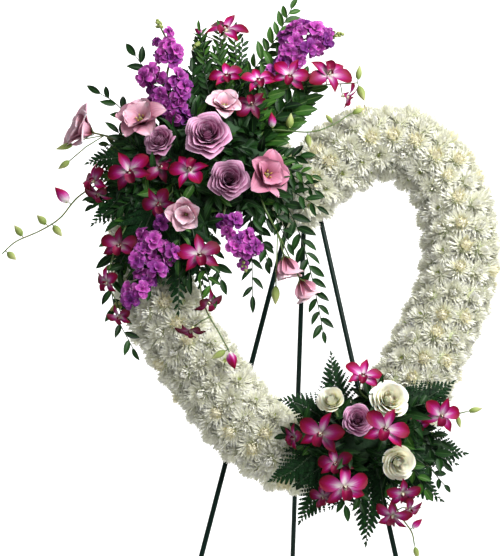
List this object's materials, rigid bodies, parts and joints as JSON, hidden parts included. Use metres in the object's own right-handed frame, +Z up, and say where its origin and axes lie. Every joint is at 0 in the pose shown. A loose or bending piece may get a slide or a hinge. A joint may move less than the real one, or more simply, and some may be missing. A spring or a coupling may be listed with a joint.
{
  "type": "funeral wreath",
  "caption": "Open heart of white chrysanthemums with mixed sprays of flowers and ferns, hung on a folding three-legged easel.",
  "frame": {"origin": "on the floor, at the middle of the box round the whole object", "axes": "+Z up, the flowers face -Y and lean back towards +Y, +X to the onlooker's right"},
  "size_m": [0.902, 0.7379, 1.6887],
  "materials": {
    "white_chrysanthemum": "soft petals",
    "lavender_rose": "soft petals",
    "ivory_rose": "soft petals",
    "pink_lisianthus": "soft petals",
    "purple_stock": "soft petals",
    "magenta_orchid": "waxy petals",
    "green_leaf": "satin leaves",
    "green_foam": "matt wet floral foam",
    "pale_board": "matt",
    "green_paint": "gloss dark green enamel on steel rod",
    "bright_pin": "bright",
    "black_rubber": "matt"
  },
  "bodies": {
    "wreath": {"back_board": "pale_board", "bottom_spray_foam": "green_foam", "chrysanthemums_1": "white_chrysanthemum", "chrysanthemums_2": "white_chrysanthemum", "chrysanthemums_3": "white_chrysanthemum", "chrysanthemums_4": "white_chrysanthemum", "chrysanthemums_5": "white_chrysanthemum", "chrysanthemums_6": "white_chrysanthemum", "chrysanthemums_7": "white_chrysanthemum", "chrysanthemums_8": "white_chrysanthemum", "chrysanthemums_bottom_inner": "white_chrysanthemum", "chrysanthemums_bottom_outer": "white_chrysanthemum", "chrysanthemums_top_inner": "white_chrysanthemum", "chrysanthemums_top_outer": "white_chrysanthemum", "easel_head": "green_paint", "easel_left_foot": "black_rubber", "easel_left_leg": "green_paint", "easel_pin": "bright_pin", "easel_right_foot": "black_rubber", "easel_right_leg": "green_paint", "ferns_left": "green_leaf", "ferns_right": "green_leaf", "heart_foam": "green_foam", "ivory_rose_1": "ivory_rose", "ivory_rose_2": "ivory_rose", "ivory_rose_3": "ivory_rose", "lavender_rose_1": "lavender_rose", "lavender_rose_2": "lavender_rose", "lavender_rose_3": "lavender_rose", "lavender_rose_4": "lavender_rose", "leaves_left": "green_leaf", "leaves_lower": "green_leaf", "leaves_right": "green_leaf", "leaves_upper": "green_leaf", "lisianthus_1": "pink_lisianthus", "lisianthus_2": "pink_lisianthus", "lisianthus_3": "pink_lisianthus", "lisianthus_4": "pink_lisianthus", "lisianthus_5": "pink_lisianthus", "lisianthus_6": "pink_lisianthus", "orchid_spray_1": "magenta_orchid", "orchid_spray_10": "magenta_orchid", "orchid_spray_11": "magenta_orchid", "orchid_spray_12": "magenta_orchid", "orchid_spray_13": "magenta_orchid", "orchid_spray_2": "magenta_orchid", "orchid_spray_3": "magenta_orchid", "orchid_spray_4": "magenta_orchid", "orchid_spray_5": "magenta_orchid", "orchid_spray_6": "magenta_orchid", "orchid_spray_7": "magenta_orchid", "orchid_spray_8": "magenta_orchid", "orchid_spray_9": "magenta_orchid", "purple_stock_1": "purple_stock", "purple_stock_2": "purple_stock", "purple_stock_3": "purple_stock", "purple_stock_4": "purple_stock", "top_spray_foam": "green_foam"},
    "rear_leg": {"easel_rear_leg": "green_paint", "easel_rear_foot": "black_rubber"}
  },
  "joints": [
    {"name": "rear_leg_fold", "type": "hinge", "parent": "wreath", "child": "rear_leg", "pos_m": [0.095, -0.0524, 1.349], "axis": [-1, 0, 0], "range_deg": [0, 26]}
  ]
}
